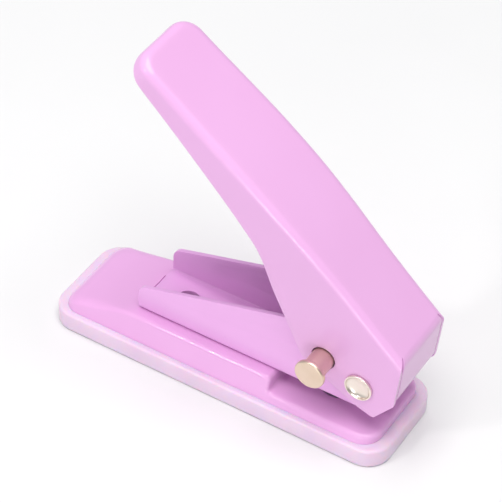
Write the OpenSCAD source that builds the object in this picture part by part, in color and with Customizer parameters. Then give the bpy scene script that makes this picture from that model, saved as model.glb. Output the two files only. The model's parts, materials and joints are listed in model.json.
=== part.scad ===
// Single-hole punch: a painted steel lever on a channel frame, over a slotted throat and a chip tray.
// Millimetres. Origin at the centre of the tray's underside; +X is the open (paper) end, +Z is up.

/* [Tray] */
// Length of the chip tray, which is the length of the foot
tray_len = 88.2; // [80:0.2:105]
// Width of the chip tray
tray_width = 27.2; // [24:0.2:34]
// Height of the tray's rim above the table
tray_height = 5; // [4:0.1:7]
// Corner radius of the tray seen from above
tray_corner = 6; // [2:0.5:8]
// Wall and floor thickness of the tray
tray_wall = 1.3; // [0.8:0.1:2]
// Width of the tray's rim beside the base shell
rim_width = 1.5; // [0.8:0.1:3]
// Width of the tray's rim at each end of the base shell
rim_end = 2.7; // [0.8:0.1:4]
// Gap between the tray's lip and the base shell
lip_gap = 0.15; // [0.05:0.05:0.4]

/* [Base shell] */
// Height of the deck, which carries the frame, above the table
deck_z = 11; // [10:0.2:14]
// Sheet thickness of the base shell
base_wall = 1.2; // [0.8:0.1:1.8]
// How far each side of the base leans in between its foot and its deck
side_lean = 1.7; // [0:0.1:3]
// Corner radius of the base shell seen from above
base_corner = 5; // [2:0.5:7]
// Length of the sloping end behind the frame
ramp_len = 17; // [10:0.5:19]
// Drop of the sloping end before it turns down
ramp_drop = 2.9; // [1:0.1:4]
// Radius of the rolled rear edge
ramp_radius = 3.2; // [1:0.1:4]

/* [Throat] */
// Height of the gap that the paper goes into
throat = 3.8; // [2:0.1:3.9]
// Distance from the paper stop to the centre of the punched hole
hole_depth = 12.3; // [8:0.1:16]
// Diameter of the punched hole
hole_diameter = 6; // [4:0.1:7]
// Radial clearance of the punch in its guides and its die
punch_fit = 0.03; // [0.01:0.01:0.1]
// Wall of the die around the punched hole
die_wall = 1.5; // [1:0.1:2.5]
// Height of the die
die_height = 3; // [2:0.1:3.4]

/* [Frame] */
// Overall width of the channel frame
frame_width = 15.6; // [14:0.2:17]
// Sheet thickness of the frame
frame_wall = 1; // [0.8:0.1:1.2]
// Outer bend radius between the frame's floor and its cheeks
frame_bend = 1.3; // [1.3:0.1:3]
// Gap between the top of the slope and the rear edge of the frame
frame_margin = 1.6; // [0.5:0.05:4]
// Height of the cheeks at their rear end
cheek_rear = 6.85; // [4:0.1:10]
// Height of the cheeks' peak above the punch's guide plate
cheek_crest = 3.7; // [1:0.1:5]
// Corner radius of the cheeks at their rear end
cheek_corner = 2.8; // [1:0.1:4]
// Radius of the cheeks around the hinge
cheek_round = 5.2; // [4.6:0.1:6.8]
// Bore of the hollow rivets that hold the frame down
rivet_bore = 5; // [3:0.1:5.4]
// Distance of the rear rivet from the rear edge of the frame
rear_rivet_inset = 8.5; // [6:0.5:14]
// Distance of the front rivet behind the paper stop
front_rivet_inset = 5.3; // [5:0.1:12]
// Wall of the hollow rivets
rivet_wall = 0.5; // [0.3:0.05:0.8]

/* [Lever] */
// Distance from the hinge to the tip of the lever
lever_reach = 86; // [76:0.5:96]
// Gap between each cheek of the frame and the lever
cheek_gap = 1.1; // [0.6:0.05:2]
// Extra width of the lever at its middle
lever_swell = 1.8; // [0:0.1:3]
// Sheet thickness of the lever
lever_wall = 1; // [0.8:0.1:1.4]
// Height of the lever's top above the hinge, square to the lever
lever_top = 14.7; // [14:0.1:16]
// Rise of the arched top at the middle of the lever
lever_bow = 1.2; // [0:0.1:2]
// Drop of the arched top at the tip
lever_arch = 3.4; // [1:0.1:5]
// Corner radius of the tip seen from above
tip_corner = 5; // [2:0.5:8]
// Angle of the lever above the base when it is open, in degrees
open_angle = 40.9; // [38:0.1:44]
// Length of the tab that closes the front of the lever
tab_len = 11.6; // [6:0.1:12]
// Gap between that tab and each side of the lever
tab_gap = 0.4; // [0.2:0.1:0.8]

/* [Hinge and drive pin] */
// Distance of the hinge from the open end of the tray
hinge_inset = 8.15; // [7:0.05:12]
// Height of the hinge above the deck
hinge_rise = 9.45; // [8:0.05:12]
// Distance from the hinge to the drive pin
crank = 9.94; // [8.5:0.01:12]
// Angle of the drive pin above level when the lever is open, in degrees
crank_angle = 21.5; // [18:0.1:24]
// Swing of the lever from open to closed, in degrees
swing = 30; // [26:0.5:32]
// Diameter of the hinge rivet's shank
rivet_diameter = 5; // [4:0.1:5.6]
// How far the hinge rivet's rolled heads stand out around its shank
rivet_roll = 0.85; // [0.5:0.05:1.5]
// Radial running clearance of pins in their holes
pin_fit = 0.05; // [0.02:0.01:0.1]
// Diameter of the thick, outer part of the lock pin
lock_diameter = 5.4; // [4.5:0.1:6]
// Diameter of the thin part of the lock pin
shank_diameter = 3; // [2.4:0.1:3.4]
// How far the lock pin's button stands out around its thick part
button_lip = 0.93; // [0.5:0.01:1.8]
// Travel of the lock pin when it is pushed in
lock_travel = 4.9; // [3:0.1:5.2]
// Thickness of the lock pin's button
button_thick = 1.3; // [0.8:0.1:2]

/* [Punch] */
// Height of the punch's cutting edge above the throat when it is up
punch_lift = 0.3; // [0.1:0.1:1]
// Thickness of the guide plate above the drive pin
guide_thick = 1.2; // [0.8:0.1:1.6]
// Width of the guide plate on each side of the punch, along the frame
guide_margin = 2; // [1:0.1:3]
// Wire diameter of the return spring
wire_diameter = 0.65; // [0.4:0.05:0.75]
// Gap between the punch and the return spring around it
coil_gap = 0.85; // [0.3:0.05:1.2]
// Number of turns of the return spring
coil_turns = 4; // [3:0.5:4.5]
// Thickness of the washer on top of the spring
washer_thick = 0.5; // [0.3:0.1:0.8]
// Thickness of the retaining clips
clip_thick = 0.6; // [0.4:0.1:0.8]

/* [Hidden] */
$fn = 64;
pink = [0.94, 0.74, 0.93];
steel = [0.75, 0.76, 0.78];
dark_steel = [0.25, 0.25, 0.27];

// Heights
jaw_z = deck_z - throat;
rim_z = tray_height;
floor_z = deck_z + frame_wall;

// Places along the object
rear_x = -tray_len / 2;
base_rear = rear_x + rim_end;
base_front = tray_len / 2 - rim_end;
base_half = tray_width / 2 - rim_width;
hinge_x = tray_len / 2 - hinge_inset;
hinge_z = deck_z + hinge_rise;
crank_x = crank * cos(crank_angle);
drive_z = hinge_z + crank * sin(crank_angle);
drive_x = hinge_x - crank_x;
closed_angle = crank_angle - swing;
punch_x = hinge_x - (crank_x + crank) / 2;
stop_x = punch_x - hole_depth;
frame_front = hinge_x + cheek_round;
punch_travel = drive_z - hinge_z - crank * sin(closed_angle);
ramp_x = base_rear + ramp_len;
frame_rear = ramp_x + frame_margin;
rear_rivet_x = frame_rear + rear_rivet_inset;
front_rivet_x = stop_x - front_rivet_inset;

// Places across the object
frame_half = frame_width / 2;
cheek_in = frame_half - frame_wall;
lever_half = frame_half + cheek_gap + lever_wall;

// Round pieces and their holes
guide_bore = hole_diameter + 2 * punch_fit;
die_outer = hole_diameter + 2 * die_wall;
coil_diameter = hole_diameter + 2 * coil_gap + wire_diameter;
rivet_outer = rivet_bore + 2 * rivet_wall;
flare_outer = rivet_outer + 2 * rivet_wall;
pivot_bore = rivet_diameter + 2 * pin_fit;

// The punch's stack, from the spring up
slot_play = (crank - crank_x) / 2 + pin_fit;
clip_z = drive_z - lock_diameter / 2 - 0.15 - clip_thick;
washer_z = clip_z - washer_thick;
guide_z = drive_z + lock_diameter / 2 + 0.5;
peak_z = guide_z + guide_thick + cheek_crest;
punch_foot = deck_z + punch_lift;
punch_top = guide_z + guide_thick + 0.7 + punch_travel;
punch_groove = hole_diameter - 1.2;

// The lock pin's button, pulled out, and the groove at its other end
button_y = -lever_half - lock_travel - 0.1;
clip_y = lever_half + 0.05;
pin_groove = shank_diameter - 0.8;

// Corners of the lever's side, in its own frame: the end of the slim grip, the knee where the side has
// become deep, the heel over the frame, the toe under the hinge and the brow where the tab starts
shoulder = [-40, 3.9];
knee = [-27.7, -1.7];
heel = [-11.9, -8.6];
toe = [7.6, -3.3];
brow = [7.5, 4.35];
// Depth of the lever's side at its tip
tip_depth = 4.7;

// Points along an arc, from angle a0 to a1
function arc(x, z, r, a0, a1) = [for (i = [0:8]) let (a = a0 + (a1 - a0) * i / 8)
    [x + r * cos(a), z + r * sin(a)]];

// A flat outline in X and Z, made solid from y0 to y1
module side_slab(y0, y1) {
    translate([0, y1, 0]) rotate([90, 0, 0]) linear_extrude(y1 - y0) children();
}

// A round hole or pin along Y
module cross_pin(x, z, d, y0, y1) {
    translate([x, y0, z]) rotate([-90, 0, 0]) cylinder(d = d, h = y1 - y0);
}

// A rectangle with four round corners, seen from above
module round_rect(x0, x1, half, r) {
    translate([x0 + r, -half]) square([x1 - x0 - 2 * r, 2 * half]);
    translate([x0, -half + r]) square([x1 - x0, 2 * half - 2 * r]);
    for (x = [x0 + r, x1 - r], y = [-half + r, half - r]) translate([x, y]) circle(r);
}

// The side view of the base, inset by its sheet thickness for the inside
module base_profile(inset, foot) {
    top = deck_z - inset;
    jaw = jaw_z - inset;
    back = base_rear + inset;
    r = ramp_radius - inset;
    low = deck_z - ramp_drop - inset;
    lean = atan2(ramp_drop, ramp_len - ramp_radius);
    stop = stop_x - inset;
    front = base_front - inset;
    polygon(concat([[back, foot]], arc(back + r, low - r, r, 180, 90 + lean),
        [[ramp_x, top], [stop, top], [stop, jaw], [front, jaw], [front, foot]]));
}

// The end view of the base: sides that lean in towards the deck
module base_section(inset, foot) {
    lean = side_lean / (deck_z - rim_z);
    half = base_half - inset;
    wide = half + lean * (rim_z - foot);
    high = deck_z + 1;
    narrow = half - lean * (high - rim_z);
    rotate([90, 0, 90]) translate([0, 0, rear_x]) linear_extrude(tray_len)
        polygon([[-wide, foot], [wide, foot], [narrow, high], [-narrow, high]]);
}

// The whole outer or inner form of the base
module base_form(inset, foot) {
    intersection() {
        side_slab(-tray_width, tray_width) base_profile(inset, foot - 3);
        base_section(inset, foot);
        translate([0, 0, foot - 1]) linear_extrude(deck_z)
            round_rect(base_rear + inset, base_front - inset, base_half - inset, base_corner - inset);
    }
}

module base_shell() {
    color(pink) difference() {
        base_form(0, rim_z);
        base_form(base_wall, rim_z - 1);
        translate([punch_x, 0, 0]) cylinder(d = die_outer, h = deck_z);
        for (x = [rear_rivet_x, front_rivet_x])
            translate([x, 0, 0]) cylinder(d = rivet_outer, h = deck_z + 1);
    }
}

// The chip tray: a shallow box whose lip stands inside the base shell
module chip_tray() {
    lip_top = jaw_z - base_wall - lip_gap;
    lip_half = base_half - base_wall - lip_gap - side_lean * (lip_top - rim_z) / (deck_z - rim_z);
    lip_in = rim_end + base_wall + lip_gap;
    // The rolled rear edge of the shell comes in by this much at the top of the lip
    roll = ramp_radius - base_wall;
    rise = lip_top - (deck_z - ramp_drop - ramp_radius);
    set_in = roll - sqrt(roll * roll - pow(max(0, min(roll, rise)), 2));
    lip_rear = rear_x + lip_in + set_in;
    lip_front = -rear_x - lip_in;
    corner = base_corner - base_wall;
    color([0.9, 0.78, 0.9, 0.7]) difference() {
        union() {
            linear_extrude(rim_z) round_rect(rear_x, -rear_x, tray_width / 2, tray_corner);
            translate([0, 0, rim_z - 1]) linear_extrude(lip_top - rim_z + 1)
                round_rect(lip_rear, lip_front, lip_half, corner);
        }
        translate([0, 0, tray_wall]) linear_extrude(deck_z)
            round_rect(lip_rear + tray_wall, lip_front - tray_wall, lip_half - tray_wall, corner - tray_wall);
    }
}

// The hardened ring in the lower jaw that the punch cuts against
module die_bush() {
    color(steel) translate([punch_x, 0, jaw_z - die_height]) difference() {
        cylinder(d = die_outer, h = die_height);
        translate([0, 0, -1]) cylinder(d = guide_bore, h = die_height + 2);
        translate([0, 0, -1]) cylinder(d = hole_diameter + 1, h = die_height / 2 + 1);
    }
}

// The channel's end view: two cheeks on a floor, with round bends
module frame_section() {
    inner_bend = frame_bend - frame_wall;
    tall = peak_z - deck_z;
    difference() {
        union() {
            translate([-frame_half, frame_bend]) square([frame_width, tall]);
            translate([-frame_half + frame_bend, 0]) square([frame_width - 2 * frame_bend, tall]);
            for (y = [-frame_half + frame_bend, frame_half - frame_bend])
                translate([y, frame_bend]) circle(frame_bend);
        }
        translate([-cheek_in, frame_bend]) square([2 * cheek_in, tall]);
        translate([-cheek_in + inner_bend, frame_wall]) square([2 * (cheek_in - inner_bend), tall]);
        for (y = [-cheek_in + inner_bend, cheek_in - inner_bend])
            translate([y, frame_bend]) circle(inner_bend);
    }
}

// The cheeks' outline from the side
module frame_profile() {
    top = deck_z + cheek_rear;
    peak_x = punch_x + 1.2;
    slope = atan2(peak_z - top, peak_x - frame_rear);
    r = cheek_corner;
    polygon(concat([[frame_rear, deck_z]],
        arc(frame_rear + r, top + r * tan(slope) - r / cos(slope), r, 180, 90 + slope),
        [[peak_x, peak_z], [hinge_x - 3, peak_z - 1.6]],
        arc(hinge_x, hinge_z, cheek_round, 55, -15), [[frame_front - 1.5, deck_z]]));
}

// The straight slot that the drive pin's arc fits in
module pin_slot(y0, y1) {
    bow = crank * (1 - cos(swing / 2));
    half = shank_diameter / 2 + bow / 2 + 0.35;
    drop = drive_z - hinge_z - crank * sin(closed_angle);
    run = drive_x - (hinge_x - crank * cos(closed_angle));
    length = norm([run, drop]);
    for (a = [crank_angle, closed_angle])
        cross_pin(hinge_x - crank * cos(a) - bow / 2, hinge_z + crank * sin(a), 2 * half, y0, y1);
    translate([drive_x - bow / 2, y0, drive_z]) rotate([0, 180 + atan2(run, drop), 0])
        translate([-half, 0, 0]) cube([2 * half, y1 - y0, length]);
}

module frame() {
    out = frame_half + 1;
    color(pink) difference() {
        intersection() {
            translate([frame_rear, 0, deck_z]) rotate([90, 0, 90])
                linear_extrude(frame_front - frame_rear) frame_section();
            side_slab(-out, out) frame_profile();
        }
        translate([punch_x, 0, 0]) cylinder(d = guide_bore, h = floor_z + 1);
        for (x = [rear_rivet_x, front_rivet_x]) translate([x, 0, deck_z]) flare();
        cross_pin(hinge_x, hinge_z, rivet_diameter, -out, out);
        pin_slot(-out, out);
        // Seats that take the thick part of the lock pin with the lever open and closed
        for (a = [crank_angle, closed_angle])
            cross_pin(hinge_x - crank * cos(a), hinge_z + crank * sin(a), lock_diameter + 0.4, -out, 0);
        // Slots for the guide plate's ears
        guide_ears(out);
    }
}

// A hollow rivet: its upper end is flared flush into the frame's floor, its lower end is rolled over
module frame_rivet(x) {
    lip = 0.45;
    color(pink) translate([x, 0, deck_z - base_wall]) difference() {
        union() {
            cylinder(d = rivet_outer, h = base_wall);
            translate([0, 0, base_wall]) flare();
            translate([0, 0, -lip]) cylinder(d = flare_outer + lip, h = lip);
        }
        translate([0, 0, -1]) cylinder(d = rivet_bore, h = base_wall + frame_wall + 2);
    }
}

// The flared end of a hollow rivet, and the hole that it fills
module flare() {
    cylinder(d1 = rivet_outer, d2 = flare_outer, h = frame_wall);
}

module frame_rivet_rear() {
    frame_rivet(rear_rivet_x);
}

module frame_rivet_front() {
    frame_rivet(front_rivet_x);
}

// The guide plate's ears, which are also the slots for them, to a distance of reach from the middle
module guide_ears(reach) {
    ear = hole_diameter / 2 + guide_margin;
    translate([punch_x - ear / 2, -reach, guide_z]) cube([ear, 2 * reach, guide_thick]);
}

// The plate between the cheeks that guides the top of the punch
module guide_plate() {
    side = hole_diameter + 2 * guide_margin;
    color(steel) difference() {
        union() {
            translate([punch_x - side / 2, -cheek_in, guide_z]) cube([side, 2 * cheek_in, guide_thick]);
            guide_ears(frame_half);
        }
        translate([punch_x, 0, guide_z - 1]) cylinder(d = guide_bore, h = guide_thick + 2);
    }
}

// The punch: a round pin with a cross slot for the drive pin and a shallow vee at its cutting end
module punch_pin() {
    slot = shank_diameter + 2 * slot_play;
    vee = 1;
    color(steel) difference() {
        translate([punch_x, 0, punch_foot]) cylinder(d = hole_diameter, h = punch_top - punch_foot);
        translate([punch_x - slot / 2, -hole_diameter, drive_z - shank_diameter / 2 - pin_fit])
            cube([slot, 2 * hole_diameter, shank_diameter + 2 * pin_fit]);
        translate([punch_x, 0, punch_foot]) rotate([0, 45, 0])
            cube([vee, hole_diameter * 2, vee], center = true);
        translate([punch_x, 0, clip_z]) difference() {
            cylinder(d = hole_diameter + 2, h = clip_thick);
            cylinder(d = punch_groove, h = clip_thick);
        }
    }
}

// A flat retaining clip: a ring with an open mouth
module clip(outer, inner, thick) {
    difference() {
        cylinder(d = outer, h = thick);
        translate([0, 0, -1]) cylinder(d = inner, h = thick + 2);
        translate([0, -inner * 0.4, -1]) cube([outer, inner * 0.8, thick + 2]);
    }
}

module punch_clip() {
    color(dark_steel) translate([punch_x, 0, clip_z]) clip(hole_diameter + 3.6, punch_groove, clip_thick);
}

module spring_washer() {
    color(steel) translate([punch_x, 0, washer_z]) difference() {
        cylinder(d = coil_diameter + 2, h = washer_thick);
        translate([0, 0, -1]) cylinder(d = hole_diameter + 0.1, h = washer_thick + 2);
    }
}

// The return spring: round wire along a helix whose end turns lie flat
module return_spring() {
    sides = 8;
    per_turn = 20;
    r = wire_diameter / 2;
    low = floor_z + r;
    high = washer_z - r;
    steps = round(coil_turns * per_turn);
    flat = 0.6 * per_turn;
    // Height along the coil, with an easy start and end
    function rise(i) = low + (high - low) * max(0, min(1, (i - flat) / (steps - 2 * flat)));
    points = [for (i = [0:steps], k = [0:sides - 1])
        let (a = 360 * i / per_turn, b = 360 * k / sides, out = coil_diameter / 2 + r * cos(b))
        [punch_x + out * cos(a), out * sin(a), rise(i) + r * sin(b)]];
    last = steps * sides;
    faces = concat(
        [[for (k = [0:sides - 1]) k]],
        [for (i = [0:steps - 1], k = [0:sides - 1]) let (m = (k + 1) % sides)
            [i * sides + k, (i + 1) * sides + k, (i + 1) * sides + m, i * sides + m]],
        [[for (k = [sides - 1:-1:0]) last + k]]);
    color(steel) polyhedron(points, faces, convexity = 6);
}

// A cubic curve through a to d, steered by b and c, without its first point
function curve(a, b, c, d, n) = [for (i = [1:n]) let (t = i / n, u = 1 - t)
    u * u * u * a + 3 * u * u * t * b + 3 * u * t * t * c + t * t * t * d];

// The lever's own frame: origin on the hinge, -X towards the tip, +Z square to its top
module lever_frame() {
    translate([hinge_x, 0, hinge_z]) rotate([0, open_angle, 0]) children();
}

// Height of the arched top at a distance from the front, as a share of the lever's reach
function crown_z(t) = lever_top + lever_bow * pow(sin(180 * t), 2) - lever_arch * t * t;

// The arched top, from the front to the tip, lowered by inset
function crown(inset, reach) = [for (i = [1:20]) let (x = reach * i / 20)
    [-x, crown_z(x / lever_reach) - inset]];

// The lever's side view, in its own frame
module lever_profile() {
    tip = [-lever_reach, crown_z(1)];
    nose = tip + [0, -0.8];
    grip = tip + [8, -tip_depth];
    polygon(concat(
        [[0, lever_top]], crown(0, lever_reach - 0.6), [nose],
        curve(nose, tip + [0, 0.6 - tip_depth], tip + [2.5, 0.15 - tip_depth], grip, 6),
        curve(grip, [shoulder.x - 22, shoulder.y + 2.5], shoulder + [-9, 1.6], shoulder, 6),
        curve(shoulder, shoulder + [4, -0.7], knee + [-4.3, 2.1], knee, 4),
        curve(heel + [-3.1, 1.4], heel + [-0.6, 0.3], heel + [0.7, 0], heel + [2.9, 0.5], 4),
        [toe + [-3.5, -1.5], toe + [-0.2, -0.1], toe + [0.3, 0.5], brow]));
}

// The lever from above, inset for its inside
module lever_plan(inset) {
    half = lever_half - inset;
    swell = lever_swell / 2;
    end = half + swell / 3;
    tip = lever_reach - inset;
    r = tip_corner - inset;
    // Share of the reach, and share of the swell that the side has there
    bulge = [[-0.14, 0], [0.21, 0], [0.37, 0.7], [0.535, 1], [0.72, 0.9]];
    side = concat([for (b = bulge) [-lever_reach * b.x, half + swell * b.y]], [[-tip + r, end]]);
    polygon(concat(side, [for (i = [len(side) - 1:-1:0]) [side[i].x, -side[i].y]]));
    translate([-tip, -end + r]) square([r + 0.5, 2 * (end - r)]);
    for (y = [-end + r, end - r]) translate([-tip + r, y]) circle(r);
}

module lever() {
    out = lever_half + 2;
    // Along the tab, from the front edge of the top down to the front corner
    slant = atan2(lever_top - brow.y, brow.x);
    tab_half = lever_half - lever_wall - tab_gap;
    color(pink) lever_frame() difference() {
        union() {
            difference() {
                intersection() {
                    side_slab(-out, out) lever_profile();
                    translate([0, 0, -20]) linear_extrude(50) lever_plan(0);
                }
                intersection() {
                    side_slab(-out, out) polygon(concat([[20, lever_top - lever_wall]],
                        crown(lever_wall, lever_reach), [[-lever_reach, -20], [20, -20]]));
                    translate([0, 0, -20]) linear_extrude(50) lever_plan(lever_wall);
                }
            }
            translate([0, -tab_half, lever_top]) rotate([0, slant, 0]) translate([-0.3, 0, -lever_wall])
                cube([tab_len, 2 * tab_half, lever_wall]);
        }
        cross_pin(0, 0, pivot_bore, -out, out);
        lever_drive_hole(lock_diameter + 2 * pin_fit, -out, 0);
        lever_drive_hole(shank_diameter + 2 * pin_fit, 0, out);
    }
}

// The drive pin's hole, placed in the lever's own frame
module lever_drive_hole(d, y0, y1) {
    a = 180 - crank_angle + open_angle;
    cross_pin(crank * cos(a), crank * sin(a), d, y0, y1);
}

// The hinge rivet: a tube whose ends are rolled over outside the lever
module hinge_rivet() {
    head = 0.7;
    rolled = rivet_diameter + 2 * rivet_roll;
    reach = lever_half + 0.05;
    color([0.86, 0.84, 0.8]) difference() {
        union() {
            cross_pin(hinge_x, hinge_z, rivet_diameter, -reach, reach);
            cross_pin(hinge_x, hinge_z, rolled, -reach - head, -reach);
            cross_pin(hinge_x, hinge_z, rolled, reach, reach + head);
        }
        for (s = [-1, 1]) translate([hinge_x, s * (reach + head), hinge_z]) rotate([s * 90, 0, 0])
            cylinder(d1 = rivet_diameter - 0.4, d2 = rivet_diameter - 2, h = 4);
    }
}

// The sleeve that keeps the cheeks apart under the rivet's grip
module hinge_sleeve() {
    color(steel) difference() {
        cross_pin(hinge_x, hinge_z, rivet_diameter + 2, -cheek_in, cheek_in);
        cross_pin(hinge_x, hinge_z, rivet_diameter, -cheek_in - 1, cheek_in + 1);
    }
}

// A washer between a cheek and the lever
module hinge_washer(side) {
    thick = cheek_gap - 0.05;
    y0 = side < 0 ? -frame_half - thick : frame_half;
    color([0.9, 0.9, 0.88]) difference() {
        cross_pin(hinge_x, hinge_z, rivet_diameter + 4, y0, y0 + thick);
        cross_pin(hinge_x, hinge_z, rivet_diameter, y0 - 1, y0 + thick + 1);
    }
}

module hinge_washer_near() {
    hinge_washer(-1);
}

module hinge_washer_far() {
    hinge_washer(1);
}

// The lock pin, pulled out: button, thick part in the near side of the lever, thin part across the punch
module lock_pin() {
    button = lock_diameter + 2 * button_lip;
    step_y = -lever_half + lever_wall + 0.3;
    end_y = clip_y + clip_thick + 1.15;
    color([0.85, 0.78, 0.7]) difference() {
        union() {
            cross_pin(drive_x, drive_z, button, button_y - button_thick, button_y);
            cross_pin(drive_x, drive_z, lock_diameter, button_y - 0.1, step_y);
            cross_pin(drive_x, drive_z, shank_diameter, step_y, end_y);
        }
        difference() {
            cross_pin(drive_x, drive_z, shank_diameter + 1, clip_y, clip_y + clip_thick);
            cross_pin(drive_x, drive_z, pin_groove, clip_y, clip_y + clip_thick);
        }
    }
}

module lock_pin_clip() {
    color(dark_steel) translate([drive_x, clip_y, drive_z]) rotate([-90, 0, 0])
        clip(shank_diameter + 3, pin_groove, clip_thick);
}

base_shell();
chip_tray();
die_bush();
frame();
frame_rivet_rear();
frame_rivet_front();
guide_plate();
punch_pin();
punch_clip();
spring_washer();
return_spring();
lever();
hinge_rivet();
hinge_sleeve();
hinge_washer_near();
hinge_washer_far();
lock_pin();
lock_pin_clip();
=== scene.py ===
"""Looks of the single-hole punch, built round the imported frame.

Every shape is worked out in millimetres in the shared frame, as a grid or as a profile along a path, and goes
into its mesh in metres. Sizes that belong to one piece stand with that piece and repeat the part's own.
"""

import json
import math

import bmesh
import bpy
import numpy as np
from mathutils import Matrix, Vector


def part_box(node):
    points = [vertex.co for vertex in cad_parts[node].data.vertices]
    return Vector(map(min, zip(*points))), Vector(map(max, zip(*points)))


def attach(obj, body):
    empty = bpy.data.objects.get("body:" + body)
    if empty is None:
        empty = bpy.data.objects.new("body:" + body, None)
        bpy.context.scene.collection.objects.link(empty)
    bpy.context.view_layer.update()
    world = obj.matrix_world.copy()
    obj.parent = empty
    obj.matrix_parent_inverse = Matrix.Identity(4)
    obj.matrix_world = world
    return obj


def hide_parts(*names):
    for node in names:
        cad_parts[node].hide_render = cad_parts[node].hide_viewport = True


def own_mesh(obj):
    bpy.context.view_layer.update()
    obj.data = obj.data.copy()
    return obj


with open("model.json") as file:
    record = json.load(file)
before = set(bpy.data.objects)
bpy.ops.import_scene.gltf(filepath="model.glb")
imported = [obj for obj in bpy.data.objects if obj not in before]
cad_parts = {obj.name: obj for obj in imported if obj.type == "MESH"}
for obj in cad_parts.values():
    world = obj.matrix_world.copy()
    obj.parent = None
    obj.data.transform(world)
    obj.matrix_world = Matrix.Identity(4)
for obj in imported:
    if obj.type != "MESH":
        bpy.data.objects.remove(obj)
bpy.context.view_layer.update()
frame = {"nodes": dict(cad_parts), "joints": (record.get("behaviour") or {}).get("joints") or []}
nodes = frame["nodes"]

MM = 0.001
scene = bpy.context.scene


# ---------------------------------------------------------------- camera

CAMERA_TURN, CAMERA_RISE, CAMERA_ROLL = 29.958, 42.938, 2.372  # degrees
CAMERA_PLACE = (0.18868, -0.32417, 0.38358)  # metres
CAMERA_SENSOR, CAMERA_LENS = 36, 166.3  # millimetres


def make_camera():
    """A long lens above the near side, at the open end, rolled a little."""
    turn, rise, roll = (math.radians(v) for v in (CAMERA_TURN, CAMERA_RISE, CAMERA_ROLL))
    right = np.array([math.cos(turn), math.sin(turn), 0])
    up = np.array([-math.sin(turn) * math.sin(rise), math.cos(turn) * math.sin(rise), math.cos(rise)])
    back = np.array([math.sin(turn) * math.cos(rise), -math.cos(turn) * math.cos(rise), math.sin(rise)])
    axes = [math.cos(roll) * right + math.sin(roll) * up, math.cos(roll) * up - math.sin(roll) * right, back]
    data = bpy.data.cameras.new("camera")
    data.sensor_width = CAMERA_SENSOR
    data.lens = CAMERA_LENS
    data.clip_start = 0.01
    data.clip_end = 20
    camera = bpy.data.objects.new("camera", data)
    matrix = Matrix.Identity(4)
    for column, axis in enumerate(axes):
        for row in range(3):
            matrix[row][column] = axis[row]
    for row, value in enumerate(CAMERA_PLACE):
        matrix[row][3] = value
    camera.matrix_world = matrix
    scene.collection.objects.link(camera)
    scene.camera = camera


make_camera()


# ---------------------------------------------------------------- mesh tools

def spot(node):
    """Lowest and highest corner of a CAD node, in millimetres."""
    low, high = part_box(node)
    return np.array(low) / MM, np.array(high) / MM


def quads(rows, columns, wrap_rows=False, wrap_columns=False):
    """Corner numbers of the faces of a grid whose points are stored row after row."""
    i = np.arange(rows if wrap_rows else rows - 1)
    j = np.arange(columns if wrap_columns else columns - 1)
    i, j = (v.ravel() for v in np.meshgrid(i, j, indexing="ij"))
    down, across = (i + 1) % rows, (j + 1) % columns
    return np.stack([i * columns + j, down * columns + j, down * columns + across, i * columns + across], 1)


def joined(*grids):
    """One set of points and faces from several (points, faces) pairs."""
    points, faces, start = [], [], 0
    for p, f in grids:
        points.append(p.reshape(-1, 3))
        faces.append(f + start)
        start += points[-1].shape[0]
    return np.concatenate(points), np.concatenate(faces)


def shade(mesh, angle=32):
    """Smooth faces, with an edge kept sharp where it turns by more than the angle."""
    mesh.polygons.foreach_set("use_smooth", np.ones(len(mesh.polygons), bool))
    mesh.set_sharp_from_angle(angle=math.radians(angle))


def make_piece(name, points, faces, weld=0.002):
    """A mesh from points in millimetres: doubled points are merged and the faces turned outwards."""
    mesh = bpy.data.meshes.new(name)
    mesh.from_pydata((points * MM).tolist(), [], faces.tolist())
    work = bmesh.new()
    work.from_mesh(mesh)
    bmesh.ops.remove_doubles(work, verts=work.verts, dist=weld * MM)
    bmesh.ops.recalc_face_normals(work, faces=work.faces)
    work.to_mesh(mesh)
    work.free()
    shade(mesh)
    piece = bpy.data.objects.new(name, mesh)
    scene.collection.objects.link(piece)
    return piece


def settle(piece):
    """Applies the modifiers, so that the finished mesh is the piece's own."""
    bpy.context.view_layer.update()
    graph = bpy.context.evaluated_depsgraph_get()
    mesh = bpy.data.meshes.new_from_object(piece.evaluated_get(graph))
    piece.modifiers.clear()
    piece.data = mesh
    shade(mesh)
    return piece


def thicken(piece, thickness):
    """Gives a skin its sheet thickness, inwards."""
    sheet = piece.modifiers.new("sheet", "SOLIDIFY")
    sheet.thickness = thickness * MM
    sheet.offset = -1
    sheet.use_even_offset = True
    return settle(piece)


def level_foot(piece, height):
    """Trims a sheet's lower rim level, by lifting every point below the height up to it."""
    points = np.empty(len(piece.data.vertices) * 3, np.float32)
    piece.data.vertices.foreach_get("co", points)
    points[2::3] = np.maximum(points[2::3], height * MM)
    piece.data.vertices.foreach_set("co", points)
    piece.data.update()


def drill(piece, cutters):
    """Takes the cutters out of the piece and removes them."""
    for cutter in cutters:
        hole = piece.modifiers.new("hole", "BOOLEAN")
        hole.operation = "DIFFERENCE"
        hole.solver = "EXACT"
        hole.object = cutter
    settle(piece)
    for cutter in cutters:
        bpy.data.objects.remove(cutter)
    work = bmesh.new()
    work.from_mesh(piece.data)
    bmesh.ops.remove_doubles(work, verts=work.verts, dist=0.0005 * MM)
    bmesh.ops.holes_fill(work, edges=[e for e in work.edges if e.is_boundary], sides=8)
    work.to_mesh(piece.data)
    work.free()
    return piece


def ease_edges(piece, width, angle=50):
    """Breaks the sharp edges by a small round."""
    edge = piece.modifiers.new("edge", "BEVEL")
    edge.width = width * MM
    edge.segments = 2
    edge.limit_method = "ANGLE"
    edge.angle_limit = math.radians(angle)
    edge.use_clamp_overlap = True
    return settle(piece)


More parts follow.
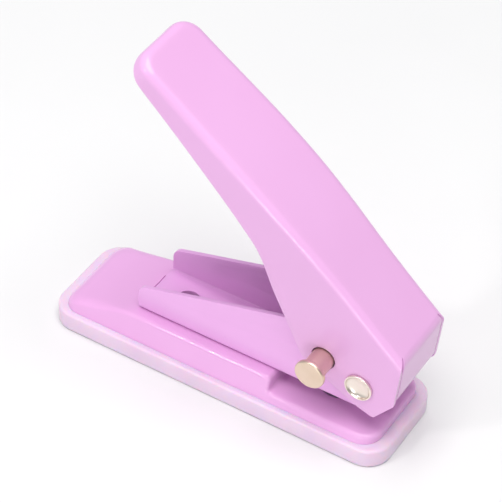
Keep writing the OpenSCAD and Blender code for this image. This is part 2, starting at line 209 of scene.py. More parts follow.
def softened(name, node, width):
    """A copy of a CAD node's mesh, finished: merged, its flat faces made whole, and its edges rounded."""
    mesh = nodes[node].data.copy()
    mesh.name = name
    mesh.materials.clear()
    if "custom_normal" in mesh.attributes:
        mesh.attributes.remove(mesh.attributes["custom_normal"])
    work = bmesh.new()
    work.from_mesh(mesh)
    bmesh.ops.remove_doubles(work, verts=work.verts, dist=0.002 * MM)
    bmesh.ops.dissolve_limit(work, angle_limit=math.radians(1.5), verts=work.verts, edges=work.edges)
    work.to_mesh(mesh)
    work.free()
    piece = bpy.data.objects.new(name, mesh)
    scene.collection.objects.link(piece)
    return ease_edges(piece, width)


def conic(a, b, c, steps):
    """Points from a to c on the curve that leaves a towards b and reaches c from b. It is a rational quadratic
    curve whose middle weight is the cosine of half the turn at b: a circle where the two arms are equal."""
    first, second = b - a, c - b
    size = np.linalg.norm(first, axis=-1) * np.linalg.norm(second, axis=-1)
    cosine = np.where(size > 1e-12, (first * second).sum(-1) / np.maximum(size, 1e-12), 1)
    weight = np.sqrt((1 + cosine) / 2)[..., None, None]
    t = np.linspace(0, 1, steps + 1)[:, None]
    a, b, c = (v[..., None, :] for v in (a, b, c))
    top = (1 - t) ** 2 * a + 2 * weight * t * (1 - t) * b + t ** 2 * c
    return top / ((1 - t) ** 2 + 2 * weight * t * (1 - t) + t ** 2)


def straight(a, b, steps):
    """Points from a to b at even steps."""
    t = np.linspace(0, 1, steps + 1)[:, None]
    return a[..., None, :] * (1 - t) + b[..., None, :] * t


def rounded(corners, steps=6, closed=False):
    """A polyline of (u, v, radius) corners in which each corner is an arc of that radius, cut short where
    the sides are too short for it."""
    corners = np.array(corners, float)
    points, radii = corners[:, :2], corners[:, 2]
    before, after = np.roll(points, 1, 0) - points, np.roll(points, -1, 0) - points
    lengths = np.linalg.norm(before, axis=1), np.linalg.norm(after, axis=1)
    unit_in, unit_out = before / lengths[0][:, None], after / lengths[1][:, None]
    inner = np.arccos(np.clip((unit_in * unit_out).sum(1), -1, 1))
    arm = np.minimum(radii / np.tan(inner / 2), 0.49 * np.minimum(*lengths))[:, None]
    if not closed:
        arm[[0, -1]] = 0
    arcs = conic(points + unit_in * arm, points, points + unit_out * arm, steps)
    if closed:
        path = arcs.reshape(-1, 2)
    else:
        path = np.concatenate([points[:1], arcs[1:-1].reshape(-1, 2), points[-1:]])
    keep = np.linalg.norm(path - np.roll(path, 1, 0), axis=1) > 1e-5
    return path[keep]


def lathe(name, outline, centre, axis, closed=False, segments=96):
    """The outline (distance from the axis, height along it) turned once round the axis through the centre."""
    angle = np.arange(segments) * 2 * math.pi / segments
    outline = np.asarray(outline, float)
    radius, height = outline[None, :, 0], np.broadcast_to(outline[None, :, 1], (segments, len(outline)))
    one, two = radius * np.cos(angle)[:, None], radius * np.sin(angle)[:, None]
    order = {"X": (height, one, two), "Y": (one, height, two), "Z": (one, two, height)}[axis]
    points = np.stack(order, -1).reshape(-1, 3) + np.array(centre, float)
    return make_piece(name, points, quads(segments, len(outline), True, closed), weld=0.0005)


def cutter(x, z, diameter, y0, y1):
    """A round bar along Y that drills a hole."""
    outline = [(0, y0), (diameter / 2, y0), (diameter / 2, y1), (0, y1)]
    return lathe("cutter", outline, (x, 0, z), "Y", segments=72)


def hood(foot, low, edge, high, spine, wall=6, arc=8, top=10):
    """The half of a pressed cover, as stations along its rim: up the wall from foot to low, round the edge to
    high and along the top to the spine."""
    parts = [straight(foot, low, wall)[:, :-1], conic(low, edge, high, arc), straight(high, spine, top)[:, 1:]]
    return np.concatenate(parts, 1)


def both_sides(grid):
    """A half and its mirror image across the middle plane."""
    faces = quads(*grid.shape[:2])
    return joined((grid, faces), (grid * [1, -1, 1], faces[:, ::-1]))


def smooth(t):
    """A step from 0 to 1 with level ends."""
    t = np.clip(t, 0, 1)
    return t * t * (3 - 2 * t)


# ---------------------------------------------------------------- places

STOP_DEPTH = 12.3  # from the paper stop to the middle of the hole
RAMP_GAP = 1.6  # from the channel's rear edge back to where the ramp starts

hinge_joint = next(j for j in frame["joints"] if j["name"] == "lever_hinge")
hinge_x, _, hinge_z = (v / MM for v in hinge_joint["pos_m"])
shell_low, shell_high = spot("base_shell")
punch_low, punch_high = spot("punch_pin")
punch_x = (punch_low[0] + punch_high[0]) / 2
die_low, die_high = spot("die_bush")
frame_low, _ = spot("frame")
pin_low, pin_high = spot("lock_pin")
drive_x, drive_z = (pin_low[0] + pin_high[0]) / 2, (pin_low[2] + pin_high[2]) / 2
stop_x = punch_x - STOP_DEPTH
ramp_x = frame_low[0] - RAMP_GAP
foot_z, deck_z, jaw_z = shell_low[2], shell_high[2], die_high[2]


# ---------------------------------------------------------------- lever

OPEN = math.radians(40.9)
REACH, TOP, FLANGE, FOLD, BEND = 86.0, 14.7, 9.9, 2.0, 3.0
BROW = np.array([7.5, 4.35])
SLANT = math.atan2(TOP - BROW[1], BROW[0])
BEND_START = -BEND * math.tan(SLANT / 2)
TIP_CORNER = 5.0
LEVER_SHEET = 1.0
TAB_LENGTH, TAB_WIDENING = 11.6, 0.62
RIVET_BORE = 5.1
LOCK_BORE_NEAR, LOCK_BORE_FAR = 5.95, 3.1  # the near one is wider than the part's 5.5, to show its dark ring


def crown(x):
    """Height of the lever's arched top over its hinge: a low bow in the middle, and a fall to the tip that
    grows with the square of the distance."""
    t = np.clip(-x / REACH, 0, 1)
    return TOP + 1.2 * np.sin(math.pi * t) ** 2 - 3.4 * t * t


def flange_half(x):
    """Half width of the lever: parallel at the hinge, swelling to the middle and drawing in to the tip."""
    t = np.clip(-x / REACH, 0, 1)
    return FLANGE + 0.9 * (smooth((t - 0.17) / 0.37) - 0.67 * smooth((t - 0.62) / 0.38))


def cubic(a, b, c, d):
    """A cubic curve from a to d, steered by b and c."""
    t = np.linspace(0, 1, 14)[:, None]
    a, b, c, d = (np.array(p, float) for p in (a, b, c, d))
    return (1 - t) ** 3 * a + 3 * t * (1 - t) ** 2 * b + 3 * t * t * (1 - t) * c + t ** 3 * d


def lower_edge(x):
    """Height of the lever's lower edge: along the slim grip, down behind the shoulder to the heel, and up to
    the toe under the hinge."""
    tip = np.array([-REACH, float(crown(-REACH))])
    shoulder, knee, heel, toe = (np.array(p) for p in ([-40, 3.9], [-27.7, -1.7], [-11.9, -8.6], [7.6, -3.3]))
    grip = tip + [8, -4.7]
    curve = np.concatenate([
        cubic(tip + [0, -2.6], tip + [0.3, -4.1], tip + [2.5, -4.55], grip),
        cubic(grip, [shoulder[0] - 22, shoulder[1] + 2.5], shoulder + [-9, 1.6], shoulder),
        cubic(shoulder, shoulder + [4, -0.7], knee + [-4.3, 2.1], knee),
        cubic(heel + [-3.1, 1.4], heel + [-0.6, 0.3], heel + [0.7, 0], heel + [2.9, 0.5]),
        [toe + [-3.5, -1.5], toe + [-0.2, -0.1], toe + [0.3, 0.5]]])
    return np.interp(x, curve[:, 0], curve[:, 1])


def front_edge(x):
    """Height of the lever's front edge: level, round the bend, down the slant and straight down at the brow."""
    start = float(crown(BEND_START))
    angle = np.linspace(0, SLANT, 24)
    path = np.stack([BEND_START + BEND * np.sin(angle), start - BEND + BEND * np.cos(angle)], 1)
    path = np.concatenate([path, [BROW, [7.9, -2.8]]])
    return np.interp(x, path[:, 0], path[:, 1])


def lever_side():
    """Stations from the bend at the front, along the near side and round the tip to its middle."""
    x = -np.concatenate([np.linspace(-BEND_START, 12, 16)[:-1], np.linspace(12, 50, 46)[:-1],
                         np.linspace(50, REACH - TIP_CORNER, 36)])
    plan = np.stack([x, -flange_half(x)], 1)
    outward = np.stack([0 * x, 0 * x - 1], 1)
    turn = np.linspace(0, math.pi / 2, 15)[1:]
    out_turn = np.stack([-np.sin(turn), -np.cos(turn)], 1)
    half = float(flange_half(-REACH + TIP_CORNER))
    middle = np.array([-REACH + TIP_CORNER, -half + TIP_CORNER])
    end_y = np.linspace(-half + TIP_CORNER, 0, 7)[1:]
    plan = np.concatenate([plan, middle + TIP_CORNER * out_turn, np.stack([0 * end_y - REACH, end_y], 1)])
    outward = np.concatenate([outward, out_turn, np.tile([-1.0, 0.0], (len(end_y), 1))])
    return plan, outward


def raised(plan, z):
    """Plan points with a height."""
    return np.concatenate([plan, np.asarray(z, float)[:, None]], 1)


def lever_piece():
    """The bent sheet of the lever: the hood along its sides and tip, the flange ahead of the bend, and the tab
    that goes on down the front between the flanges."""
    plan, outward = lever_side()
    inner = plan - FOLD * outward
    height = crown(plan[:, 0])
    spine = np.stack([np.maximum(plan[:, 0], -REACH + TIP_CORNER), 0 * height], 1)
    wall, arc, top = 10, 9, 8
    main = hood(raised(plan, lower_edge(plan[:, 0])), raised(plan, height - FOLD), raised(plan, height),
                raised(inner, crown(inner[:, 0])), raised(spine, crown(spine[:, 0])), wall, arc, top)
    main[:, wall + arc + 1:, 2] = crown(main[:, wall + arc + 1:, 0])

    # The flange ahead of the bend: the same wall and fold, cut off along the front edge
    x = np.concatenate([np.linspace(BEND_START, 1.5, 22)[:-1], np.linspace(1.5, BROW[0], 22)[:-1],
                        np.linspace(BROW[0], 7.89, 5)])
    cut = front_edge(x)
    base = float(crown(BEND_START)) - FOLD
    y = 0 * x - FLANGE
    low = np.stack([x, y, np.minimum(base, cut)], 1)
    walls = straight(np.stack([x, y, np.minimum(lower_edge(x), cut - 0.01)], 1), low, wall)
    fold = conic(np.stack([x, y, 0 * x + base], 1), np.stack([x, y, 0 * x + base + FOLD], 1),
                 np.stack([x, y + FOLD, 0 * x + base + FOLD], 1), arc)
    rise = np.clip((cut - base) / FOLD, 0, 1)
    end = np.stack([x, y + FOLD * (1 - np.sqrt(1 - rise ** 2)), np.minimum(base + FOLD * rise, cut)], 1)
    over = fold[:, :, 2] > end[:, None, 2] + 1e-6
    fold = np.where(over[:, :, None], end[:, None, :], fold)
    flange = np.concatenate([walls[:, :-1], fold], 1)

    # The tab: round the bend and down the slant, a little wider below the bend
    angle = np.linspace(0, SLANT, 12)
    start = float(crown(BEND_START))
    bend = np.stack([BEND_START + BEND * np.sin(angle), start - BEND + BEND * np.cos(angle)], 1)
    tab_end = np.array([math.cos(SLANT), -math.sin(SLANT)]) * TAB_LENGTH + [0, TOP]
    path = np.concatenate([bend[:-1], straight(bend[-1], tab_end, 10)])
    along = np.concatenate([[0], np.cumsum(np.linalg.norm(np.diff(path, axis=0), axis=1))])
    half = FLANGE - FOLD + TAB_WIDENING * smooth(along / 2.6)
    share = np.linspace(-1, 0, top + 1)
    tab = np.stack(np.broadcast_arrays(path[:, None, 0], half[:, None] * share, path[:, None, 1]), -1)

    points, faces = joined(both_sides(main), both_sides(flange), both_sides(tab))
    x, z = points[:, 0].copy(), points[:, 2].copy()
    points[:, 0] = hinge_x + x * math.cos(OPEN) + z * math.sin(OPEN)
    points[:, 2] = hinge_z - x * math.sin(OPEN) + z * math.cos(OPEN)
    piece = make_piece("lever_sheet", points, faces)
    thicken(piece, LEVER_SHEET)
    drill(piece, [cutter(hinge_x, hinge_z, RIVET_BORE, -20, 20), cutter(drive_x, drive_z, LOCK_BORE_NEAR, -20, 0),
                  cutter(drive_x, drive_z, LOCK_BORE_FAR, 0, 20)])
    return ease_edges(piece, 0.12, angle=60)


# ---------------------------------------------------------------- base shell

BASE_SHEET = 1.2
BASE_LEAN = 1.7  # how far a side leans in from the foot to the deck
RAMP_SLOPE = 0.2054
EDGE_ROUND = 0.92  # arms of the upper edge's round, along the sides
FRAME_RIVET_BORE, DIE_BORE = 3, 4.5  # radii of the holes through the deck and the jaw
GAP_WIDTH, GAP_HALF = 0.28, 4.7  # the fine gap behind the channel, which the part itself does not have


def base_piece():
    """The pressed base: a ramp that rolls down at the rear, a level deck, a step down at the paper stop and the
    lower jaw. Its sides lean in, and its upper edge is rounded, most of all round the rear corners."""
    rear, front, half = shell_low[0], shell_high[0], shell_high[1]
    lean = BASE_LEAN / (deck_z - foot_z)
    rear_corner, rear_high, front_corner = 4.0, 4.5, 5.0
    shift = rear_high + 3.3 - rear_corner

    def ramp(x):
        return deck_z - RAMP_SLOPE * np.maximum(ramp_x - x, 0)

    # The side view from the end of the rear corner to the start of the front one
    start = rear + rear_corner
    line = rounded([(start, float(ramp(start)), 0), (ramp_x, deck_z, 16), (stop_x, deck_z, 1.2),
                    (stop_x, jaw_z, 0.9), (front - front_corner, jaw_z, 0)], 7)
    # Short steps along each stretch of the side view, so that the stations are close together
    fill = [straight(line[i], line[i + 1], max(1, int(np.linalg.norm(line[i + 1] - line[i]) / 1.1)))[:-1]
            for i in range(len(line) - 1)]
    line = np.concatenate(fill + [line[-1:]])
    slopes = np.gradient(line, axis=0)
    slopes /= np.linalg.norm(slopes, axis=1)[:, None]
    x, z = line[:, 0], line[:, 1]
    normal = np.stack([-slopes[:, 1], 0 * x, slopes[:, 0]], 1)
    side = np.array([0, -1, lean]) / math.hypot(1, lean)
    down = -normal + (normal @ side)[:, None] * side
    down /= np.linalg.norm(down, axis=1)[:, None]
    near_rear = smooth((rear + 17 - x) / 13)[:, None]
    edge = np.stack([x, -half + lean * (z - foot_z), z], 1)
    # The foot points keep moving forward while the stations go down the step, and stay behind its round
    travel = np.concatenate([[0], np.cumsum(np.linalg.norm(np.diff(line, axis=0), axis=1))])
    close, wall = np.abs(x - stop_x) < 3.5, travel[np.abs(slopes[:, 0]) < 0.02]
    ends = travel[close][[0, -1]], x[close][[0, -1]]
    foot_x = x.copy()
    foot_x[close] = np.interp(travel[close], [ends[0][0], wall[0], wall[-1], ends[0][1]],
                              [ends[1][0], stop_x - 1.65, stop_x - 1.1, ends[1][1]])
    foot = np.stack([foot_x, 0 * x - half, 0 * x + foot_z], 1)
    low = edge + down * (EDGE_ROUND + 0.5 * near_rear)
    high = edge + [0, 1, 0] * (EDGE_ROUND + 1.6 * near_rear)
    high[:, :1] += shift * near_rear
    high[:, 2] += (ramp(high[:, 0]) - ramp(x)) * (near_rear[:, 0] > 0)
    spine = np.stack([np.clip(x, rear + 13, front - front_corner - 1), 0 * x, z], 1)
    spine[:, 2] = np.where(x < rear + 13, ramp(rear + 13), z)
    sides = hood(foot, low, edge, high, spine)

    def end(sign, corner, high_corner, drops, reaches, middle):
        """Stations round one end, from the side to the middle: sign is -1 at the rear and 1 at the front. The
        inner line of the edge's round is a rounded rectangle too, with its own corner radius."""
        turn = np.linspace(0, math.pi / 2, 15)
        out = np.concatenate([np.stack([sign * np.sin(turn), -np.cos(turn)], 1), np.tile([sign, 0.0], (6, 1))])
        share = np.concatenate([np.sin(turn) ** 2, np.ones(6)])
        edge_x = rear if sign < 0 else front
        surface = ramp if sign < 0 else lambda v: 0 * v + jaw_z

        def outline(x_inset, y_inset, radius):
            """Points round the end on a rectangle drawn in by its two insets."""
            side_y = -half + y_inset
            plan = np.array([edge_x - sign * (x_inset + radius), side_y + radius]) + radius * out
            plan[15:, 1] = np.linspace(side_y + radius, 0, 7)[1:]
            return plan

        plan = outline(0, 0, corner)
        inset = lean * (1 - share) * (surface(plan[:, 0]) - foot_z)
        corner_plan = plan - out * inset[:, None]
        top_edge = raised(corner_plan, surface(corner_plan[:, 0]))
        foot = raised(plan, 0 * inset + foot_z)
        fall = foot - top_edge
        length = np.linalg.norm(fall, axis=1)[:, None]
        drop = (drops[0] + (drops[1] - drops[0]) * share)[:, None]
        low = top_edge + fall / length * np.minimum(drop, 0.96 * length)
        high_plan = outline(reaches[1], reaches[0] + inset[0], high_corner)
        high = raised(high_plan, surface(high_plan[:, 0]))
        spine = np.tile([middle, 0.0, float(surface(np.array(middle)))], (len(plan), 1))
        return hood(foot, low, top_edge, high, spine)

    rear_end = end(-1, rear_corner, rear_high, (1.42, 2.4), (2.52, 3.3), rear + 13)
    front_end = end(1, front_corner, front_corner - 0.9, (EDGE_ROUND, 0.8), (EDGE_ROUND, 0.9),
                    front - front_corner - 1)
    grid = np.concatenate([rear_end[::-1], sides[1:-1], front_end])
    piece = make_piece("base_pressing", *both_sides(grid))
    thicken(piece, BASE_SHEET)
    level_foot(piece, foot_z)
    bars = [lathe("cutter", [(0, z0), (r, z0), (r, 14), (0, 14)], (x, 0, 0), "Z", segments=72)
            for x, r, z0 in ((rivet_x("rear"), FRAME_RIVET_BORE, 3), (rivet_x("front"), FRAME_RIVET_BORE, 3),
                             (punch_x, DIE_BORE, 3))]
    drill(piece, bars + [gap_cutter()])
    return ease_edges(piece, 0.14, angle=60)


def gap_cutter():
    """The fine gap in the deck behind the channel's rear edge, as a bar along Y."""
    rear = frame_low[0] - 0.56
    corners = np.array([(rear - GAP_WIDTH, 10.3), (rear, 10.3), (rear, 11.5), (rear - GAP_WIDTH, 11.5)])
    ends = np.array([-GAP_HALF, -4.69, 4.69, GAP_HALF])
    grid = np.stack([np.broadcast_to(corners[:, 0], (4, 4)), np.broadcast_to(ends[:, None], (4, 4)),
                     np.broadcast_to(corners[:, 1], (4, 4))], -1).copy()
    grid[[0, 3]] = grid[[0, 3]].mean(1, keepdims=True)
    return make_piece("cutter", grid.reshape(-1, 3), quads(4, 4, False, True), weld=0.0005)


def rivet_x(which):
    """Place of a frame rivet along the object."""
    low, high = spot("frame_rivet_" + which)
    return (low[0] + high[0]) / 2


# ---------------------------------------------------------------- chip tray

def tray_piece():
    """The moulded tray as one closed skin: rings that follow a rectangle with round corners, from the middle of
    the underside out, up and over the rim, over the lip and down to the middle of the floor."""
    low, high = spot("chip_tray")
    rim, half, corner, wall = 5.0, high[1], 6.0, 1.3
    lip_half, lip_rear, lip_front = half - 3.09, low[0] + 4.29, high[0] - 4.05
    outer = (low[0], high[0], half, corner)
    lip = (lip_rear, lip_front, lip_half, 3.8)
    room = (lip_rear + wall, lip_front - wall, lip_half - wall, 2.5)

    def ring(inset, z, box):
        """One ring: the box's rectangle drawn in by inset, at height z."""
        x0, x1, y, r = box[0] + inset, box[1] - inset, box[2] - inset, max(box[3] - inset, 0.05)
        turn = np.linspace(0, math.pi / 2, 13)
        quarter = np.stack([np.cos(turn), np.sin(turn)], 1) * r + [x1 - r, y - r]
        top = np.stack([np.linspace(x1 - r, x0 + r, 26)[1:-1], np.full(24, y)], 1)
        left = quarter[::-1] * [-1, 1] + [x0 + x1, 0]
        upper = np.concatenate([quarter, top, left])
        outline = np.concatenate([upper, upper[::-1] * [1, -1]])
        return np.concatenate([outline, np.full((len(outline), 1), z)], 1)

    outside = rounded([(8, 0, 0), (0, 0, 0.7), (0, rim, 1.1), (1.4, rim, 0)], 8)
    rings = [ring(inset, z, outer) for inset, z in outside]
    rings += [ring(inset, z, lip) for inset, z in rounded([(0, rim, 0), (0, high[2], 0.3), (0.65, high[2], 0)], 4)]
    rings += [ring(inset, z, room)
              for inset, z in rounded([(-0.6, high[2], 0), (0, high[2], 0.3), (0, wall, 0.9), (5, wall, 0)], 6)]
    grid = np.stack(rings)
    first, last = grid[:1] * [1, 0, 1], grid[-1:] * [1, 0, 1]
    for flat in (first, last):
        flat[..., 0] = np.clip(flat[..., 0], low[0] + 14, high[0] - 14)
    grid = np.concatenate([first, grid, last])
    return make_piece("tray_moulding", grid.reshape(-1, 3), quads(*grid.shape[:2], False, True))


# ---------------------------------------------------------------- turned pieces

def ring_piece(name, node, inner, outer, axis, edge=0.12):
    """A washer, ring or sleeve that fills a CAD node's box, with its four edges rounded."""
    low, high = spot(node)
    centre = (low + high) / 2
    along = "XYZ".index(axis)
    h0, h1 = low[along], high[along]
    centre[along] = 0
    outline = rounded([(inner, h0, edge), (outer, h0, edge), (outer, h1, edge), (inner, h1, edge)], 3, True)
    return lathe(name, outline, centre, axis, closed=True)


DISH_RADIUS, DISH_DEPTH, RIVET_HEAD = 2.98, 1.15, 3.35


def hinge_rivet_piece():
    """The hollow hinge rivet: a shank with a rolled head at each end, dished in the middle."""
    low, high = spot("hinge_rivet")
    reach = high[1]
    turn = np.linspace(0, 1, 13)[1:] * math.pi / 2
    dish = [(DISH_RADIUS * math.sin(t), reach - 0.06 - DISH_DEPTH * math.cos(t), 0.05) for t in turn]
    rim = [(3.02, reach, 0.05), (RIVET_HEAD, reach, 0.25), (RIVET_HEAD, reach - 0.7, 0.2), (2.5, reach - 0.7, 0.05)]
    half = [(0, reach - 1.21, 0)] + dish + rim
    mirrored = [(r, -h, e) for r, h, e in half[::-1]]
    return lathe("hinge_tube", rounded(half + mirrored, 7), (hinge_x, 0, hinge_z), "Y", segments=128)


def lock_pin_piece():
    """The turned lock pin: a flat button with a soft rim, the thick part, the thin part and the clip's groove."""
    start, end = pin_low[1], pin_high[1]
    button, thick, thin, step = 3.63, 2.7, 1.5, -8.6
    groove_width = 0.6
    groove = end - 1.15 - groove_width
    outline = rounded([
        (0, start, 0), (button, start, 0.4), (button, start + 1.3, 0.45), (thick + 0.02, start + 1.3, 0.75),
        (thick, step, 0.2), (thin, step, 0.1), (thin, groove, 0.03), (thin - 0.4, groove, 0.03),
        (thin - 0.4, groove + groove_width, 0.03), (thin, groove + groove_width, 0.03), (thin, end, 0.35),
        (0, end, 0)], 6)
    return lathe("lock_button_pin", outline, (drive_x, 0, drive_z), "Y", segments=128)


def frame_rivet_piece(which):
    """A hollow rivet set flush: straight inside, its upper end flared out into the floor and its lower rolled."""
    low, high = spot("frame_rivet_" + which)
    bottom, top = low[2], high[2]
    bore = 2.85  # wider than the part's 2.5, to show as one dark hole
    outline = rounded([(bore, bottom, 0.2), (3.5, bottom, 0.2), (3.72, bottom + 0.45, 0.15), (3, bottom + 0.46, 0.05),
                       (3, top - 1, 0.1), (3.49, top - 0.01, 0.02), (bore, top - 0.01, 0.1)], 5, True)
    return lathe("floor_rivet_" + which, outline, (rivet_x(which), 0, 0), "Z", closed=True)


def die_piece():
    """The die: a ring whose hole opens out below the cutting edge."""
    low, high = die_low, die_high
    outline = rounded([(3.5, low[2], 0.1), (4.5, low[2], 0.2), (4.5, high[2], 0.05), (3.03, high[2], 0.02),
                       (3.03, low[2] + 1.5, 0.05), (3.5, low[2] + 1.5, 0.05)], 3, True)
    return lathe("die_ring", outline, (punch_x, 0, 0), "Z", closed=True)


def spring_piece():
    """The return spring: a round section carried along a helix whose end turns lie flat."""
    low, high = spot("return_spring")
    wire = 0.325
    coil = (high[0] - low[0]) / 2 - wire
    turns, per_turn = 4.0, 48
    angle = np.linspace(0, turns * 2 * math.pi, int(turns * per_turn) + 1)
    flat = 0.6 / turns
    share = np.linspace(0, 1, len(angle))
    climb = np.clip((share - flat) / (1 - 2 * flat), 0, 1)
    height = low[2] + wire + (high[2] - low[2] - 2 * wire - 0.02) * (0.35 * smooth(climb) + 0.65 * climb)
    around = np.arange(12) * math.pi / 6
    out = coil + wire * np.cos(around)[None, :]
    points = np.stack([out * np.cos(angle)[:, None] + (low[0] + high[0]) / 2, out * np.sin(angle)[:, None],
                       height[:, None] + wire * np.sin(around)[None, :]], -1)
    middle = points.mean(1, keepdims=True)
    caps = np.broadcast_to(middle[[0, -1]], (2, 12, 3))
    points = np.concatenate([caps[:1], points, caps[1:]])
    return make_piece("coil", points.reshape(-1, 3), quads(*points.shape[:2], False, True), weld=0.0005)


# ---------------------------------------------------------------- materials

def linear(code):
    """An sRGB hex colour as linear values, with full alpha."""
    values = np.array([int(code[i:i + 2], 16) for i in (0, 2, 4)]) / 255
    return (*np.where(values <= 0.04045, values / 12.92, ((values + 0.055) / 1.055) ** 2.4).tolist(), 1.0)


def add(tree, kind, settings=None, **links):
    """Adds one node with its settings, and joins its inputs to other nodes' outputs."""
    node = tree.nodes.new(kind)
    for key, value in (settings or {}).items():
        if key in node.inputs:
            node.inputs[key].default_value = value
        else:
            setattr(node, key, value)
    for key, source in links.items():
        tree.links.new(source, node.inputs[key.replace("_", " ")])
    return node


RING_PITCH = 0.35  # of lathe marks; real ones are finer, and these are coarser so that they show
WAVE_RADIANS = 20  # how far Blender's ring wave turns over one unit at a scale of 1


def finish_of(name, settings, colours, patch, grain, dent, rough, turned=None):
    """A surface: its colour drifts between two values over patches of patch millimetres, its gloss between two
    roughnesses, and a grain of grain millimetres dents it by dent millimetres. turned is the point and the axis
    that lathe marks go round."""
    material = bpy.data.materials.new(name)
    material.use_nodes = True
    tree = material.node_tree
    tree.nodes.clear()
    place = add(tree, "ShaderNodeTexCoord").outputs["Object"]
    cloud = add(tree, "ShaderNodeTexNoise", {"Scale": 1000 / patch, "Detail": 2.0, "Roughness": 0.45}, Vector=place)
    ramp = add(tree, "ShaderNodeValToRGB", Fac=cloud.outputs["Fac"])
    ramp.color_ramp.elements[0].position, ramp.color_ramp.elements[1].position = 0.3, 0.7
    ramp.color_ramp.elements[0].color, ramp.color_ramp.elements[1].color = (linear(c) for c in colours)
    fine = add(tree, "ShaderNodeTexNoise", {"Scale": 1000 / grain, "Detail": 1.0}, Vector=place)
    gloss = add(tree, "ShaderNodeMapRange", {"To Min": rough[0], "To Max": rough[1]}, Value=fine.outputs["Fac"])
    height = fine.outputs["Fac"]
    if turned:
        point, axis = turned
        centred = add(tree, "ShaderNodeMapping", {"Location": [-v * MM for v in point]}, Vector=place)
        marks = add(tree, "ShaderNodeTexWave", {
            "wave_type": "RINGS", "rings_direction": axis, "Scale": math.tau / WAVE_RADIANS / (RING_PITCH * MM),
            "Distortion": 0.6, "Detail": 1.0, "Detail Scale": 2.0}, Vector=centred.outputs["Vector"])
        height = marks.outputs["Fac"]
    bump = add(tree, "ShaderNodeBump", {"Strength": 1.0, "Distance": dent * MM}, Height=height)
    shader = add(tree, "ShaderNodeBsdfPrincipled", settings, Base_Color=ramp.outputs["Color"],
                 Roughness=gloss.outputs["Result"], Normal=bump.outputs["Normal"])
    add(tree, "ShaderNodeOutputMaterial", Surface=shader.outputs["BSDF"])
    return material


# Baked enamel sprayed on pressed steel: a deep even gloss over a faint orange peel about 1.4 mm across. The base
# layer's IOR is lower than a real paint's 1.5, on purpose, to weaken what it mirrors of the white floor
ENAMEL = {"IOR": 1.3, "Coat Weight": 0.5, "Coat Roughness": 0.05, "Coat IOR": 1.5}
# The three copies of the one pink enamel differ a little in colour, each set so that its part comes out at the
# brightness wanted under these lamps; the frame's copy is a little bluer, a painted shade tint standing in for the
# violet shade inside the channel.
lever_enamel = finish_of("lever_baked_enamel", ENAMEL, ("E1ABDC", "E4AFE0"), 30, 1.4, 0.0012, (0.26, 0.34))
base_enamel = finish_of("base_baked_enamel", ENAMEL, ("E3A9DD", "E6AEE1"), 30, 1.4, 0.0012, (0.26, 0.34))
frame_enamel_shade_tinted = finish_of("frame_baked_enamel_shade_tinted", ENAMEL, ("E5ABE2", "E8B0E6"), 26, 1.37, 0.0012, (0.26, 0.34))

# Natural polypropylene, moulded: milky, so that light and the colour of what is behind it soak through
tray_plastic = finish_of("tray_moulded_polypropylene", {
    "IOR": 1.49, "Transmission Weight": 0.1, "Subsurface Weight": 0.5, "Subsurface Scale": 0.0025},
    ("EACFE8", "F0D8EE"), 14, 0.5, 0.002, (0.3, 0.42))

# Champagne plate on turned brass: a satin gleam over fine lathe rings on the button's face
lock_plate = finish_of("lock_pin_champagne_plate", {"Metallic": 1.0}, ("DFCBB4", "E6D3BF"), 5, 0.6, 0.0006,
                       (0.3, 0.42), turned=((drive_x, 0, drive_z), "Y"))
# Nickel on a rolled brass tube: a soft, pale shine with broad forming marks
rivet_nickel = finish_of("hinge_rivet_bright_nickel", {"Metallic": 1.0}, ("EADFD3", "F1E8DE"), 5, 4, 0.0006,
                         (0.27, 0.31))
# Ground tool steel, zinc plate, black oxide, drawn wire and natural nylon on the working pieces
tool_steel = finish_of("punch_ground_tool_steel", {"Metallic": 1.0}, ("A9ABB0", "BDBFC4"), 3, 0.3, 0.0015,
                       (0.22, 0.38), turned=((punch_x, 0, 0), "Z"))
zinc = finish_of("plate_zinc_plated_steel", {"Metallic": 1.0}, ("AEB3B8", "C9CDD2"), 2.5, 0.4, 0.002, (0.3, 0.5))
black_oxide = finish_of("clip_black_oxide_steel", {"Metallic": 0.9}, ("2A2A2E", "3B3B40"), 2, 0.3, 0.002,
                        (0.35, 0.55))
spring_wire = finish_of("spring_drawn_wire", {"Metallic": 1.0}, ("8F9298", "A6A9AF"), 2, 0.2, 0.001, (0.25, 0.4))
nylon = finish_of("washer_natural_nylon", {"IOR": 1.53, "Subsurface Weight": 0.2, "Subsurface Scale": 0.001},
                  ("E6E4DC", "EFEEE8"), 4, 0.4, 0.002, (0.4, 0.55))


# ---------------------------------------------------------------- pieces

def place_piece(piece, material, body, node):
    """Gives the piece its material and its body, and hides the CAD node that it stands for."""
    piece.data.materials.clear()
    piece.data.materials.append(material)
    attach(piece, body)
    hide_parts(node)
    return piece


place_piece(lever_piece(), lever_enamel, "lever_body", "lever")
place_piece(base_piece(), base_enamel, "root", "base_shell")
place_piece(tray_piece(), tray_plastic, "tray_body", "chip_tray")
place_piece(softened("channel_sheet", "frame", 0.12), frame_enamel_shade_tinted, "root", "frame")
for which in ("rear", "front"):
    place_piece(frame_rivet_piece(which), frame_enamel_shade_tinted, "root", "frame_rivet_" + which)
place_piece(hinge_rivet_piece(), rivet_nickel, "root", "hinge_rivet")
place_piece(lock_pin_piece(), lock_plate, "lock_body", "lock_pin")
place_piece(softened("lock_clip", "lock_pin_clip", 0.08), black_oxide, "lock_body", "lock_pin_clip")
place_piece(softened("punch_rod", "punch_pin", 0.08), tool_steel, "punch_body", "punch_pin")
place_piece(softened("punch_ring_clip", "punch_clip", 0.08), black_oxide, "punch_body", "punch_clip")
place_piece(softened("punch_guide", "guide_plate", 0.1), zinc, "root", "guide_plate")
place_piece(ring_piece("spring_cap", "spring_washer", 3.05, 5.175, "Z"), zinc, "punch_body",
            "spring_washer")
place_piece(ring_piece("hinge_spacer", "hinge_sleeve", 2.5, 3.5, "Y"), zinc, "root", "hinge_sleeve")
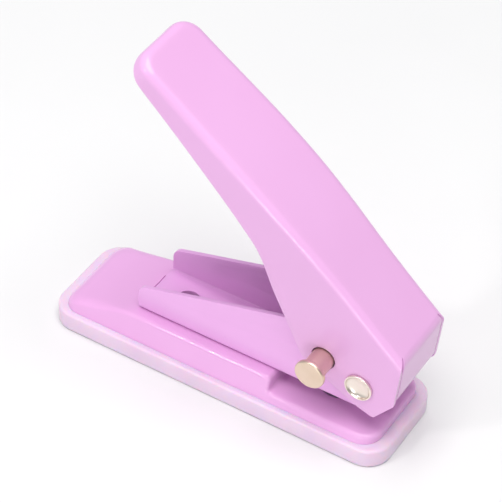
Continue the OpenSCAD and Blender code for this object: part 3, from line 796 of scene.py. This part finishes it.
for which in ("near", "far"):
    place_piece(ring_piece("cheek_washer_" + which, "hinge_washer_" + which, 2.5, 4.5, "Y"), nylon, "root",
                "hinge_washer_" + which)
place_piece(die_piece(), tool_steel, "root", "die_bush")
coil = place_piece(spring_piece(), spring_wire, "root", "return_spring")
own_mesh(coil)


# ---------------------------------------------------------------- floor and light

def make_floor():
    """A plain white sheet under the tray."""
    points = np.array([(-4000, -4000, 0), (4000, -4000, 0), (4000, 4000, 0), (-4000, 4000, 0)], float)
    floor = make_piece("floor", points, np.array([[0, 1, 2, 3]]))
    paper = finish_of("floor_white_paper", {"IOR": 1.45, "Specular IOR Level": 0.2}, ("E2E2E3", "E4E4E5"), 60, 0.8,
                      0.002, (0.8, 0.9))
    floor.data.materials.append(paper)


def softbox(name, place, aim, size, power, colour):
    """A rectangular soft light at a place, in metres, turned to its aim."""
    data = bpy.data.lights.new(name, "AREA")
    data.shape = "RECTANGLE"
    data.size, data.size_y = size
    data.energy, data.color = power, colour
    lamp = bpy.data.objects.new(name, data)
    place, aim = np.array(place, float), np.array(aim, float)
    back = (place - aim) / np.linalg.norm(place - aim)
    right = np.cross([0, 0, 1] if abs(back[2]) < 0.95 else [0, 1, 0], back)
    right /= np.linalg.norm(right)
    up = np.cross(back, right)
    lamp.matrix_world = Matrix([[right[i], up[i], back[i], place[i]] for i in range(3)] + [[0, 0, 0, 1]])
    scene.collection.objects.link(lamp)


ROOM_COLOUR = (0.92, 0.955, 1, 1)
LAMP_COLOUR = (1, 0.985, 0.96)


def make_light():
    """A white room that is darker towards the open end, a broad light overhead, a key from the upper left of the
    near side, and a long low strip along it."""
    world = bpy.data.worlds.new("room")
    world.use_nodes = True
    tree = world.node_tree
    across = add(tree, "ShaderNodeSeparateXYZ", Vector=add(tree, "ShaderNodeTexCoord").outputs["Generated"])
    fall = add(tree, "ShaderNodeMapRange", {"From Min": -0.6, "From Max": 1.0, "To Min": 0.5, "To Max": 0.2},
               Value=across.outputs["X"])
    background = tree.nodes["Background"]
    background.inputs["Color"].default_value = ROOM_COLOUR
    tree.links.new(fall.outputs["Result"], background.inputs["Strength"])
    scene.world = world
    softbox("overhead", (0.14, -0.1, 1.1), (0, 0, 0.03), (0.9, 0.9), 13.0, LAMP_COLOUR)
    softbox("key", (-0.36, -0.71, 0.63), (0.0, 0, 0.02), (0.09, 0.09), 1.5, LAMP_COLOUR)
    softbox("near_strip", (0.25, -0.85, 0.09), (0.01, 0, 0.045), (0.3, 0.12), 1.45, LAMP_COLOUR)
    scene.view_settings.view_transform = "Standard"


make_floor()
make_light()
